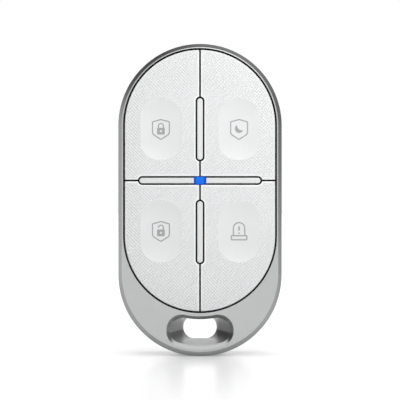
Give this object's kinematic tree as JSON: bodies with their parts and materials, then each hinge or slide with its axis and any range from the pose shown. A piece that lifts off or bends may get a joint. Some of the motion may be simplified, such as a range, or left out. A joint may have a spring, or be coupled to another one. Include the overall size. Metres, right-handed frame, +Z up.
{
  "type": "alarm key fob",
  "caption": "Slim key fob for an alarm: round-ended metal frame with a key slot, dimpled white keys round a cross of ribs and a status window, and a coin-cell door in the back.",
  "frame": {"origin": "middle of the key slot's throat, half way through the body's depth", "axes": "+Z up along the body from the key slot to the top, -Y out of the front with the keys, +X to the right seen from the front"},
  "size_m": [0.0382, 0.0123, 0.0731],
  "materials": {
    "frame_metal": "satin",
    "key_plastic": "fine diagonal weave texture",
    "rib_plastic": "satin",
    "window_plastic": "translucent, lit blue",
    "seal_rubber": "matt",
    "carrier_plastic": "matt",
    "board": "solder mask",
    "switch_plastic": "matt",
    "plunger_plastic": "matt",
    "lamp": "clear",
    "can_metal": "bright",
    "ceramic_parts": "matt",
    "contact_metal": "bright",
    "cover_plastic": "fine spark texture",
    "screw_metal": "zinc plated",
    "door_plastic": "fine spark texture"
  },
  "bodies": {
    "case": {"front_frame": "frame_metal", "button_carrier": "carrier_plastic", "keypad_seal": "seal_rubber", "upper_rib": "rib_plastic", "lower_rib": "rib_plastic", "left_rib": "rib_plastic", "right_rib": "rib_plastic", "led_window": "window_plastic", "circuit_board": "board", "switch_housings": "switch_plastic", "status_led": "lamp", "radio_chip": "switch_plastic", "crystal": "can_metal", "chip_components": "ceramic_parts", "antenna": "contact_metal", "battery_holder": "carrier_plastic", "battery": "can_metal", "positive_contact": "contact_metal", "negative_contact": "contact_metal", "rear_cover": "cover_plastic", "cover_gasket": "seal_rubber", "cover_screws": "screw_metal"},
    "arm_key": {"arm_button": "key_plastic", "arm_plunger": "plunger_plastic"},
    "night_key": {"night_button": "key_plastic", "night_plunger": "plunger_plastic"},
    "disarm_key": {"disarm_button": "key_plastic", "disarm_plunger": "plunger_plastic"},
    "panic_key": {"panic_button": "key_plastic", "panic_plunger": "plunger_plastic"},
    "door": {"battery_door": "door_plastic", "door_seal": "seal_rubber"}
  },
  "joints": [
    {"name": "arm_press", "type": "slide", "parent": "case", "child": "arm_key", "axis": [0, 1, 0], "range_m": [0, 0.0003], "stiffness_N_per_m": 3000},
    {"name": "night_press", "type": "slide", "parent": "case", "child": "night_key", "axis": [0, 1, 0], "range_m": [0, 0.0003], "stiffness_N_per_m": 3000},
    {"name": "disarm_press", "type": "slide", "parent": "case", "child": "disarm_key", "axis": [0, 1, 0], "range_m": [0, 0.0003], "stiffness_N_per_m": 3000},
    {"name": "panic_press", "type": "slide", "parent": "case", "child": "panic_key", "axis": [0, 1, 0], "range_m": [0, 0.0003], "stiffness_N_per_m": 3000},
    {"name": "door_twist", "type": "hinge", "parent": "case", "child": "door", "pos_m": [0, 0.005, 0.0401], "axis": [0, 1, 0], "range_deg": [0, 40]}
  ]
}
